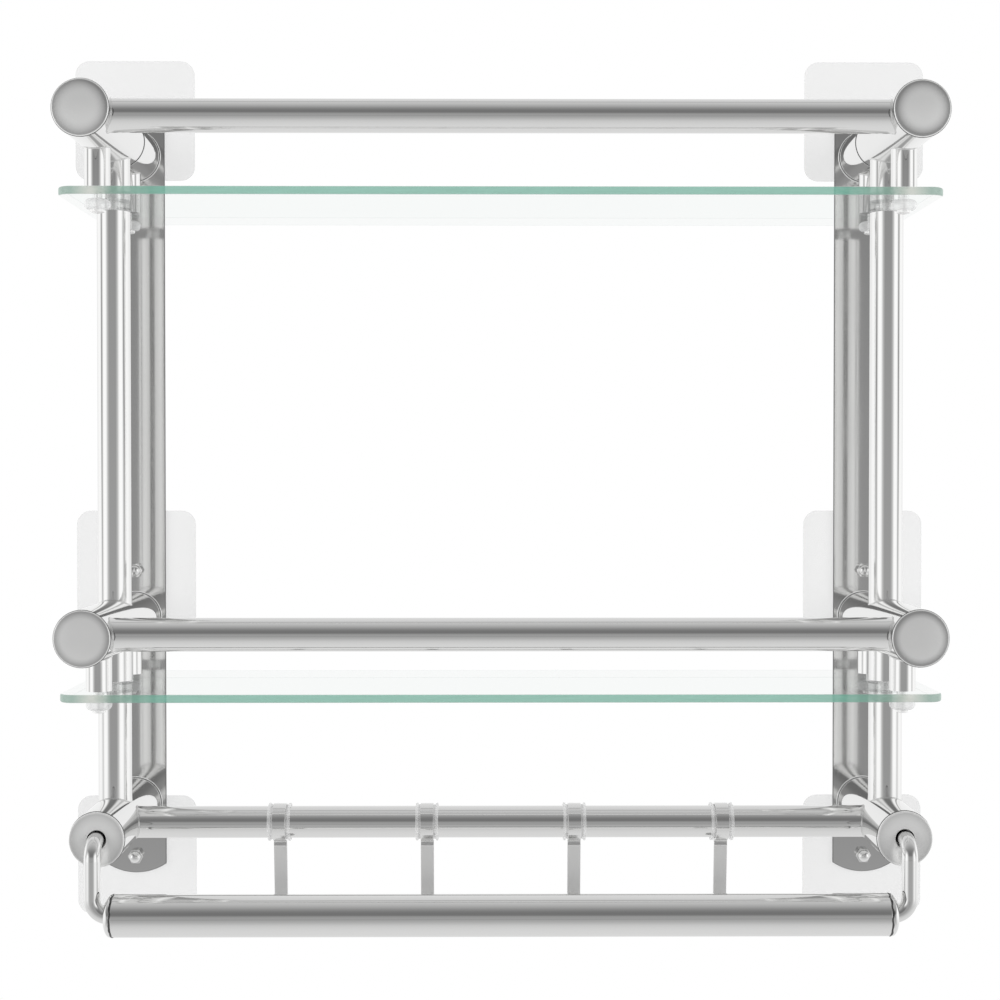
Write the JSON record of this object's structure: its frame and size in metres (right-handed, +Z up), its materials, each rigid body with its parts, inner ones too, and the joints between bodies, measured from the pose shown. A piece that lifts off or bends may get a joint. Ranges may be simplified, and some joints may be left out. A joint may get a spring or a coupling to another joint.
{
  "type": "towel rack",
  "caption": "Wall-mounted towel rack: polished tube side frames carry clear glass shelves with front bars, a rail of sliding ring hooks and a lower towel bar on bent rods.",
  "frame": {"origin": "on the wall plane, midway between the left and right arms and midway between the top and bottom fixings", "axes": "+X to the right as seen by someone facing the wall, +Y into the wall, +Z up; the front faces -Y"},
  "size_m": [0.542, 0.155, 0.546],
  "materials": {
    "tube_steel": "fine satin polish on stainless tube and strip",
    "bright_steel": "mirror polish",
    "hardware_steel": "plain machined steel",
    "shelf_glass": "clear float glass with green polished edges",
    "clear_plastic": "clear, smooth",
    "bush_plastic": "moulded"
  },
  "bodies": {
    "rack": {"left_back_plate": "bright_steel", "right_back_plate": "bright_steel", "left_upper_arm": "tube_steel", "right_upper_arm": "tube_steel", "left_middle_arm": "tube_steel", "right_middle_arm": "tube_steel", "left_lower_arm": "tube_steel", "right_lower_arm": "tube_steel", "left_upper_arm_cap": "bright_steel", "right_upper_arm_cap": "bright_steel", "left_middle_arm_cap": "bright_steel", "right_middle_arm_cap": "bright_steel", "left_lower_arm_cap": "bright_steel", "right_lower_arm_cap": "bright_steel", "left_upper_post": "tube_steel", "right_upper_post": "tube_steel", "left_lower_post": "tube_steel", "right_lower_post": "tube_steel", "left_upper_post_stub": "tube_steel", "right_upper_post_stub": "tube_steel", "left_lower_post_stub": "tube_steel", "right_lower_post_stub": "tube_steel", "left_upper_hangers": "tube_steel", "right_upper_hangers": "tube_steel", "left_lower_hangers": "tube_steel", "right_lower_hangers": "tube_steel", "upper_glass": "shelf_glass", "lower_glass": "shelf_glass", "upper_glass_washers": "clear_plastic", "lower_glass_washers": "clear_plastic", "post_gaskets": "clear_plastic", "post_studs": "hardware_steel", "hanger_screws": "hardware_steel", "upper_front_bar": "tube_steel", "middle_front_bar": "tube_steel", "hook_rail": "tube_steel", "left_bent_rod": "tube_steel", "right_bent_rod": "tube_steel", "rod_sockets": "hardware_steel", "left_upper_pad": "clear_plastic", "right_upper_pad": "clear_plastic", "left_middle_pad": "clear_plastic", "right_middle_pad": "clear_plastic", "left_lower_pad": "clear_plastic", "right_lower_pad": "clear_plastic", "pad_studs": "hardware_steel", "stud_nuts": "bright_steel"},
    "liner_1": {"hook_liner_1": "clear_plastic"},
    "hook_1": {"hook_1": "tube_steel"},
    "liner_2": {"hook_liner_2": "clear_plastic"},
    "hook_2": {"hook_2": "tube_steel"},
    "liner_3": {"hook_liner_3": "clear_plastic"},
    "hook_3": {"hook_3": "tube_steel"},
    "liner_4": {"hook_liner_4": "clear_plastic"},
    "hook_4": {"hook_4": "tube_steel"},
    "towel_bar": {"towel_bar": "tube_steel", "left_bar_plug": "bright_steel", "right_bar_plug": "bright_steel", "bar_bushes": "bush_plastic"}
  },
  "joints": [
    {"name": "towel_bar_turn", "type": "hinge", "parent": "rack", "child": "towel_bar", "pos_m": [0, -0.13, -0.242], "axis": [1, 0, 0], "continuous": true},
    {"name": "liner_1_slide", "type": "slide", "parent": "rack", "child": "liner_1", "axis": [1, 0, 0], "range_m": [-0.076, 0.037]},
    {"name": "hook_1_swing", "type": "hinge", "parent": "liner_1", "child": "hook_1", "pos_m": [-0.1335, -0.0665, -0.201], "axis": [1, 0, 0], "continuous": true},
    {"name": "liner_2_slide", "type": "slide", "parent": "rack", "child": "liner_2", "axis": [1, 0, 0], "range_m": [-0.037, 0.037]},
    {"name": "hook_2_swing", "type": "hinge", "parent": "liner_2", "child": "hook_2", "pos_m": [-0.0445, -0.0665, -0.201], "axis": [1, 0, 0], "continuous": true},
    {"name": "liner_3_slide", "type": "slide", "parent": "rack", "child": "liner_3", "axis": [1, 0, 0], "range_m": [-0.037, 0.037]},
    {"name": "hook_3_swing", "type": "hinge", "parent": "liner_3", "child": "hook_3", "pos_m": [0.0445, -0.0665, -0.201], "axis": [1, 0, 0], "continuous": true},
    {"name": "liner_4_slide", "type": "slide", "parent": "rack", "child": "liner_4", "axis": [1, 0, 0], "range_m": [-0.037, 0.076]},
    {"name": "hook_4_swing", "type": "hinge", "parent": "liner_4", "child": "hook_4", "pos_m": [0.1335, -0.0665, -0.201], "axis": [1, 0, 0], "continuous": true}
  ]
}
